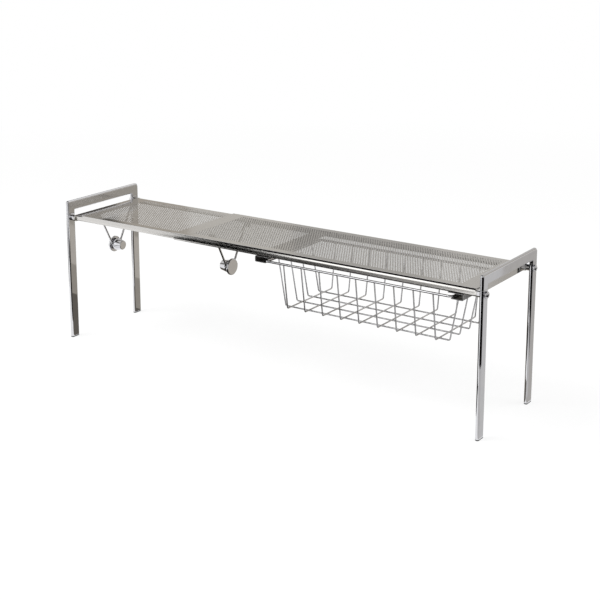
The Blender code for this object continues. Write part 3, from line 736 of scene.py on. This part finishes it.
def whiteFloor():
    # Matt white card: part of it glows white for the camera, the rest keeps the soft shadow,
    # and it fades to plain white with the distance from the middle
    material = bpy.data.materials.new("whiteSweep")
    material.use_nodes = True
    tree = material.node_tree
    tree.nodes.clear()
    card = addNode(tree, "ShaderNodeBsdfDiffuse", values={"Color": srgb(studio["floorTone"])})
    glow = addNode(tree, "ShaderNodeEmission", values={"Color": (1, 1, 1, 1), "Strength": 1.0})
    place = addNode(tree, "ShaderNodeTexCoord").outputs["Object"]
    distance = addNode(tree, "ShaderNodeVectorMath", {"operation": "LENGTH"}, links={0: place})
    fade = addNode(tree, "ShaderNodeMapRange",
                   values={"From Min": studio["fadeFrom"], "From Max": studio["fadeTo"],
                           "To Min": studio["whiteShare"], "To Max": 1.0},
                   links={"Value": distance.outputs["Value"]})
    share = addNode(tree, "ShaderNodeMath", {"operation": "MULTIPLY"},
                    links={0: showsWhite(tree).outputs["Value"], 1: fade.outputs["Result"]})
    both = addNode(tree, "ShaderNodeMixShader",
                   links={0: share.outputs["Value"], 1: card.outputs["BSDF"],
                          2: glow.outputs["Emission"]})
    addNode(tree, "ShaderNodeOutputMaterial", links={"Surface": both.outputs["Shader"]})
    reach = studio["floorReach"]
    mesh = bpy.data.meshes.new("floor")
    mesh.from_pydata([(-reach, -reach, 0), (reach, -reach, 0), (reach, reach, 0),
                      (-reach, reach, 0)], [], [(0, 1, 2, 3)])
    mesh.materials.append(material)
    floor = bpy.data.objects.new("floor", mesh)
    bpy.context.scene.collection.objects.link(floor)


flatPaintedReflections = dict(        # painted reflections lying flat, glowing boards only mirror rays see: tone, height, and the corners of each board seen from above
    frontRight=("#121111", 0.0, [(0.33, -0.41), (0.533, -0.405), (0.706, -0.26), (0.745, -0.04),
                                 (0.673, 0.117), (0.60, 0.18), (1.76, 2.13), (3.4, 2.6),
                                 (3.4, -3.0), (-0.42, -3.0)]),
    footLight=("#C9C8C7", 0.0, [(0.33, -0.41), (0.533, -0.405), (0.706, -0.26), (0.745, -0.04),
                                (0.673, 0.117), (0.60, 0.18), (0.427, -0.09), (0.43, -0.16)]),
    sideLight=("#D0CFCE", 0.0, [(0.427, -0.09), (0.60, 0.18), (1.76, 2.13), (1.446, 2.06),
                                (0.427, 0.03)]),
    sideDim=("#BDBAB6", 0.0, [(0.427, 0.03), (1.446, 2.06), (0.80, 2.30), (0.427, 1.30)]),
    warmNear=("#6A655E", 0.0, [(-0.417, -0.09), (-0.33, -0.09), (-0.33, -0.02), (0.417, -0.02),
                               (0.417, 0.10), (-0.417, 0.10)]),
    warmMiddle=("#A09A90", 0.0, [(-0.417, 0.10), (0.417, 0.10), (0.417, 0.26), (-0.417, 0.26)]),
    warmFar=("#BFB9AF", 0.0, [(-0.417, 0.26), (0.417, 0.26), (0.417, 0.52), (-0.417, 0.52)]),
    warmBack=("#A9A49A", 0.0, [(-0.417, 0.52), (0.417, 0.52), (0.417, 1.30), (-0.417, 1.30)]),
    # painted shade: the dark floor under the shelf, as the metal would mirror it
    underShelfShade=("#262524", 0.0, [(-0.33, -0.30), (0.33, -0.30), (0.33, -0.02), (-0.33, -0.02)]),
    frontMiddle=("#3A3938", 0.0, [(-0.35, -0.58), (0.12, -0.58), (0.17, -0.48), (0.25, -0.30),
                                  (-0.35, -0.30)]),
    foldBlack=("#0A0A0A", 0.0, [(-0.72, -0.60), (-0.41, -0.60), (-0.445, -0.80), (-1.80, -2.75),
                                (-2.42, -2.75), (-0.755, -0.80)]),
    foldDark=("#4A4948", 0.0, [(-0.445, -0.80), (-0.41, -0.60), (-0.23, -0.60), (-0.23, -0.92),
                               (-0.53, -0.92)]),
    foldGrey=("#7C7B7A", 0.0, [(-0.23, -0.92), (-0.12, -0.92), (-0.12, -0.60), (-0.23, -0.60)]),
    foldPale=("#A2A1A0", 0.0, [(-0.12, -0.92), (0.05, -0.92), (0.05, -0.66), (-0.12, -0.60)]),
    leftSide=("#4A4844", 0.0, [(-1.30, -0.55), (-0.74, -0.35), (-0.74, 0.45), (-1.30, 0.60)]),
    # painted reflection of a dark ceiling over the rack
    ceilingReflection=("#1C1B1B", 3.0, [(-2.4, -2.4), (2.4, -2.4), (2.4, 2.4), (-2.4, 2.4)]))
uprightPaintedReflections = dict(        # painted reflections standing upright, glowing boards only mirror rays see: tone, the two ends of each upright board, and its lowest and highest edge
    backRight=("#C9C7C4", [(1.2, 3.0), (-1.2, 2.8)], (0.30, 2.1)),
    backFarRight=("#BDB8AF", [(3.6, 1.9), (1.2, 3.0)], (0.30, 2.6)),
    backMiddle=("#B8B6B3", [(-1.2, 2.8), (-1.72, 2.51)], (0.30, 2.1)),
    backLeft=("#CBC8C3", [(-1.72, 2.51), (-2.10, 2.30)], (0.30, 2.1)),
    leftCorner=("#B3ADA5", [(-2.10, 2.30), (-2.30, 2.08)], (0.30, 2.1)),
    leftDark=("#4E4B47", [(-2.30, 2.08), (-3.4, 0.9)], (0.30, 2.1)),
    left=("#8E8B88", [(-3.4, 0.9), (-3.6, -1.8)], (0.30, 2.1)),
    front=("#B9B7B4", [(-0.8, -3.5), (4.2, -3.5)], (0.30, 2.6)),
    right=("#A8A6A3", [(4.2, -3.5), (3.6, 1.9)], (0.30, 2.6)))
cardLift = 0.002        # keeps a board that lies on the floor just above it
archPlace = dict(x=-2.1, y=-0.09, z=0.235, steps=14)
archedPaintedReflections = dict(        # painted reflections in arcs, the bright one a painted highlight that glows brighter than white: tone, strength, both radii, the first angle and the last at each radius
    dark=("#0E0E0E", 1.0, (2.48, 3.24), -6.0, (62.0, 62.0)),
    bright=("#FFFFFF", 1.9, (3.24, 5.30), 2.0, (33.0, 56.0)))


def paintedReflectionBoard(name, tone, points, faces, strength=1.0):
    # Painted reflection: a glowing board that only mirror rays see. Bright metal shows its shape by
    # the dark and coloured parts of the room around it, and these boards paint them into it
    material = bpy.data.materials.new(name)
    material.use_nodes = True
    tree = material.node_tree
    tree.nodes.clear()
    glow = addNode(tree, "ShaderNodeEmission",
                   values={"Color": srgb(tone), "Strength": strength})
    addNode(tree, "ShaderNodeOutputMaterial", links={"Surface": glow.outputs["Emission"]})
    mesh = bpy.data.meshes.new(name)
    mesh.from_pydata(points, [], faces)
    mesh.materials.append(material)
    board = bpy.data.objects.new(name, mesh)
    bpy.context.scene.collection.objects.link(board)
    for ray in ("camera", "diffuse", "transmission", "volume_scatter", "shadow"):
        setattr(board, f"visible_{ray}", False)


def placePaintedReflections():
    # Lays out every painted reflection board: flat, upright and arched
    for name, (tone, height, plan) in flatPaintedReflections.items():
        corners = [(x, y, height + cardLift) for x, y in plan]
        paintedReflectionBoard(name, tone, corners, [list(range(len(corners)))])
    for name, (tone, ends, (low, high)) in uprightPaintedReflections.items():
        corners = [(x, y, z) for z in (low, high) for x, y in ends]
        paintedReflectionBoard(name, tone, corners, [(0, 1, 3, 2)])
    # The arched painted reflections stand square to the shelf: (y, z) = centre + R (-cos t, sin t)
    at = archPlace
    for name, (tone, strength, radii, start, stops) in archedPaintedReflections.items():
        rings = []
        for r, stop in zip(radii, stops):
            t = np.radians(np.linspace(start, stop, at["steps"] + 1))
            rings.append(np.column_stack([np.full(len(t), at["x"]), at["y"] - r * np.cos(t),
                                          at["z"] + r * np.sin(t)]))
        paintedReflectionBoard(f"{name}Arch", tone, np.concatenate(rings).tolist(),
                   gridFaces(2, at["steps"] + 1, wrapColumns=False), strength)


def softWorld():
    # White for the camera and for mirror rays, and an even soft daylight for the rest
    world = bpy.data.worlds.new("studio")
    bpy.context.scene.world = world
    world.use_nodes = True
    tree = world.node_tree
    tree.nodes.clear()
    white = addNode(tree, "ShaderNodeBackground", values={"Color": (1, 1, 1, 1), "Strength": 1.0})
    soft = addNode(tree, "ShaderNodeBackground",
                   values={"Color": (1, 1, 1, 1), "Strength": studio["daylight"]})
    both = addNode(tree, "ShaderNodeMixShader",
                   links={0: showsWhite(tree).outputs["Value"], 1: soft.outputs["Background"],
                          2: white.outputs["Background"]})
    addNode(tree, "ShaderNodeOutputWorld", links={"Surface": both.outputs["Shader"]})


def softbox(name, at, size, power):
    # A rectangular lamp turned to face the rack
    data = bpy.data.lights.new(name, "AREA")
    data.shape = "RECTANGLE"
    data.size, data.size_y = size
    data.energy = power
    lamp = bpy.data.objects.new(name, data)
    bpy.context.scene.collection.objects.link(lamp)
    away = np.array(at, float) - np.array(lampAim, float)
    flat = math.hypot(away[0], away[1])
    lamp.location = at
    lamp.visible_glossy = False        # the glowing boards paint its reflection and highlights in bright metal instead
    lamp.rotation_euler = (math.atan2(flat, away[2]), 0, math.atan2(away[0], -away[1]))


def aimCamera():
    # At the photograph's place, with the lens shifted to its framing
    lens = bpy.data.cameras.new("camera")
    lens.lens = shot["lens"]
    lens.sensor_width = shot["sensor"]
    lens.shift_y = shot["shift"]
    camera = bpy.data.objects.new("camera", lens)
    bpy.context.scene.collection.objects.link(camera)
    camera.location = shot["place"]
    camera.rotation_euler = (math.radians(90 - shot["drop"]), 0, math.radians(shot["turn"]))
    bpy.context.scene.camera = camera


whiteFloor()
placePaintedReflections()
softWorld()
for name, (at, size, power) in softboxes.items():
    softbox(name, at, size, power)
aimCamera()
bpy.context.scene.view_settings.view_transform = "Standard"

print("done")
